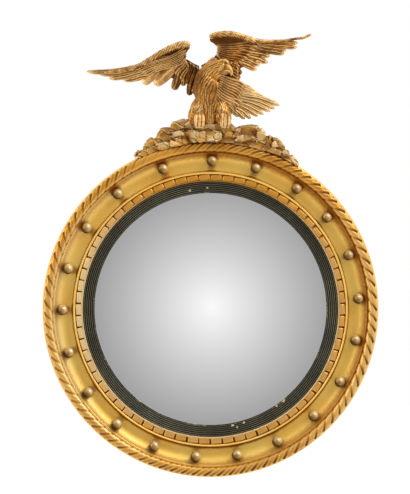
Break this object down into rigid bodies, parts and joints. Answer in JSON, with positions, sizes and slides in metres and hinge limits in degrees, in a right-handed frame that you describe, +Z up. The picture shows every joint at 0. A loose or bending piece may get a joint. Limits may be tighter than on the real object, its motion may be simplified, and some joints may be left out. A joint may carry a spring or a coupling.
{
  "type": "convex wall mirror",
  "caption": "Round convex wall mirror in a gilded ring frame with rope and block mouldings, applied balls, an ebonised slip and a carved eagle on rockwork.",
  "frame": {"origin": "on the wall plane, at the middle of the backboard's back face, behind the centre of the ring", "axes": "+Y into the wall, so the mirror faces -Y; +Z up, towards the eagle; +X to the viewer's right"},
  "size_m": [0.709, 0.0939, 0.94],
  "materials": {
    "gilt_wood": "water-gilded gesso over turned pine, burnished and worn",
    "gilt_balls": "dull rubbed gilding on turned wood",
    "gilt_carving": "gilded carved pine with dark hollows and rubbed edges",
    "ebonised_wood": "ebonised and reeded, satin",
    "mirror_glass": "silvered convex glass",
    "pine": "aged sawn pine",
    "iron": "dark aged iron",
    "brass": "tarnished brass wire"
  },
  "bodies": {
    "frame": {"backboard": "pine", "backboard_screw_1": "iron", "backboard_screw_2": "iron", "backboard_screw_3": "iron", "backboard_screw_4": "iron", "backboard_screw_5": "iron", "backboard_screw_6": "iron", "ball_01": "gilt_balls", "ball_02": "gilt_balls", "ball_03": "gilt_balls", "ball_04": "gilt_balls", "ball_05": "gilt_balls", "ball_06": "gilt_balls", "ball_07": "gilt_balls", "ball_08": "gilt_balls", "ball_09": "gilt_balls", "ball_10": "gilt_balls", "ball_11": "gilt_balls", "ball_12": "gilt_balls", "ball_13": "gilt_balls", "ball_14": "gilt_balls", "ball_15": "gilt_balls", "ball_16": "gilt_balls", "ball_17": "gilt_balls", "ball_18": "gilt_balls", "ball_19": "gilt_balls", "ball_20": "gilt_balls", "ball_21": "gilt_balls", "batten_screw_1": "iron", "batten_screw_2": "iron", "batten_screw_3": "iron", "batten_screw_4": "iron", "block_moulding": "gilt_wood", "crest_batten": "pine", "eagle_body": "gilt_carving", "eagle_dowel": "pine", "frame_ring": "gilt_wood", "glass_block_1": "pine", "glass_block_2": "pine", "glass_block_3": "pine", "glass_block_4": "pine", "hanger_plate_left": "iron", "hanger_plate_right": "iron", "hanger_screw_1": "iron", "hanger_screw_2": "iron", "hanger_screw_3": "iron", "hanger_screw_4": "iron", "left_leg": "gilt_carving", "left_wing": "gilt_carving", "mirror_plate": "mirror_glass", "right_leg": "gilt_carving", "right_wing": "gilt_carving", "rock_centre": "gilt_carving", "rock_left": "gilt_carving", "rock_right": "gilt_carving", "rope_moulding": "gilt_wood", "slip": "ebonised_wood", "tail": "gilt_carving"},
    "hanger_ring_left": {"hanger_ring_left": "brass"},
    "hanger_ring_right": {"hanger_ring_right": "brass"}
  },
  "joints": [
    {"name": "left_ring_swing", "type": "hinge", "parent": "frame", "child": "hanger_ring_left", "pos_m": [-0.205, -0.0044, 0.238], "axis": [1, 0, 0], "range_deg": [0, 180]},
    {"name": "right_ring_swing", "type": "hinge", "parent": "frame", "child": "hanger_ring_right", "pos_m": [0.205, -0.0044, 0.238], "axis": [1, 0, 0], "range_deg": [0, 180]}
  ]
}
